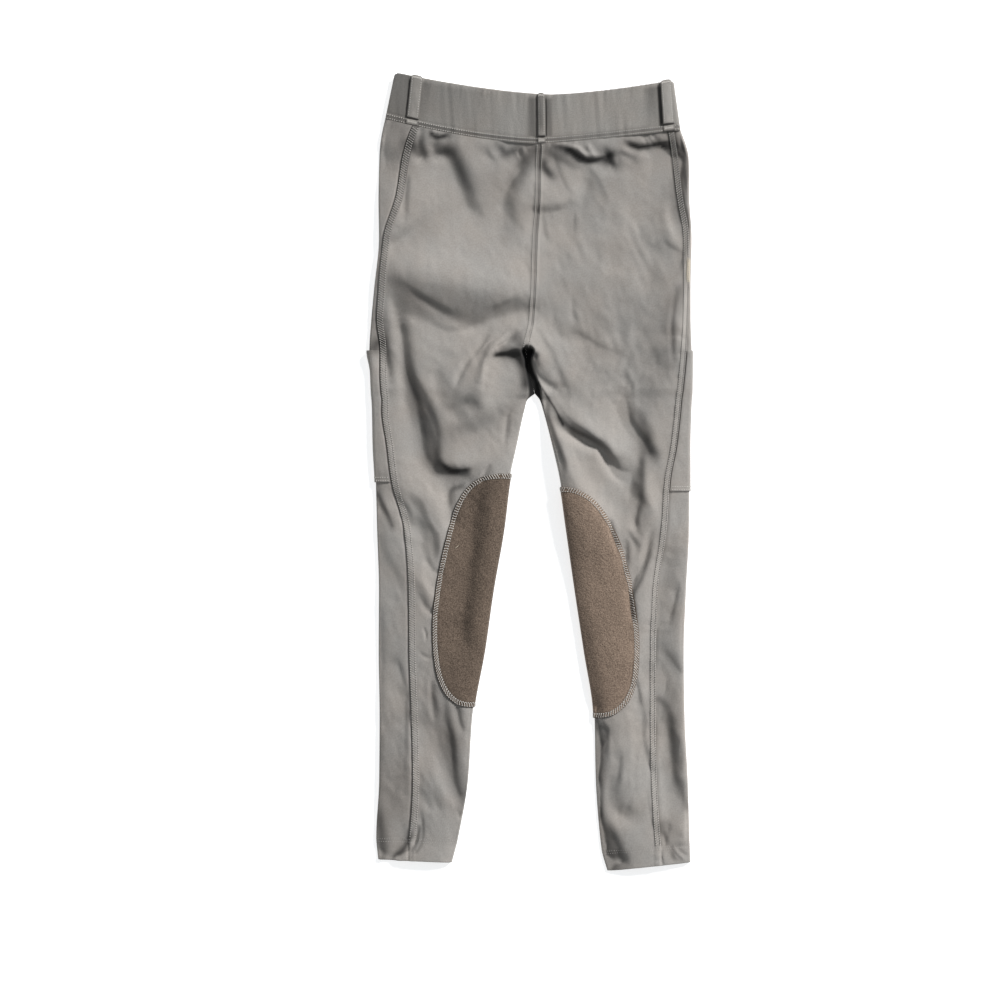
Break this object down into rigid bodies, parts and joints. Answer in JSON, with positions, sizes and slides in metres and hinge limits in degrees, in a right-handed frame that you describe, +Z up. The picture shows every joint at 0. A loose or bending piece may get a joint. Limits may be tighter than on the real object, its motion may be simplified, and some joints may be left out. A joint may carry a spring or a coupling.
{
  "type": "riding breeches",
  "caption": "Pull-on riding breeches laid flat and face down, with an elastic waistband, belt loops, thigh pockets, knee patches and hem bands.",
  "frame": {"origin": "on the surface that the cloth lies on, under the middle of the garment's outline", "axes": "+X across to the wearer's right, +Y up the garment to the waist, +Z up from the surface, out of the back of the breeches"},
  "size_m": [0.3593, 0.8778, 0.0158],
  "materials": {
    "stretch_cloth": "smooth matte stretch cloth with a slight sheen",
    "waistband_cloth": "the same cloth, gathered on elastic",
    "suede": "brushed microsuede"
  },
  "bodies": {
    "root": {"waistband_back": "waistband_cloth", "waistband_front": "waistband_cloth", "belt_loop_left": "waistband_cloth", "belt_loop_centre": "waistband_cloth", "belt_loop_right": "waistband_cloth", "belt_loop_front_left": "waistband_cloth", "belt_loop_front_right": "waistband_cloth", "back_panel_left": "stretch_cloth", "back_panel_right": "stretch_cloth", "side_panel_left": "stretch_cloth", "side_panel_right": "stretch_cloth", "front_panel_left": "stretch_cloth", "front_panel_right": "stretch_cloth", "thigh_pocket_left": "stretch_cloth", "thigh_pocket_right": "stretch_cloth", "knee_patch_left": "suede", "knee_patch_right": "suede", "hem_band_left": "stretch_cloth", "hem_band_right": "stretch_cloth"}
  },
  "joints": []
}
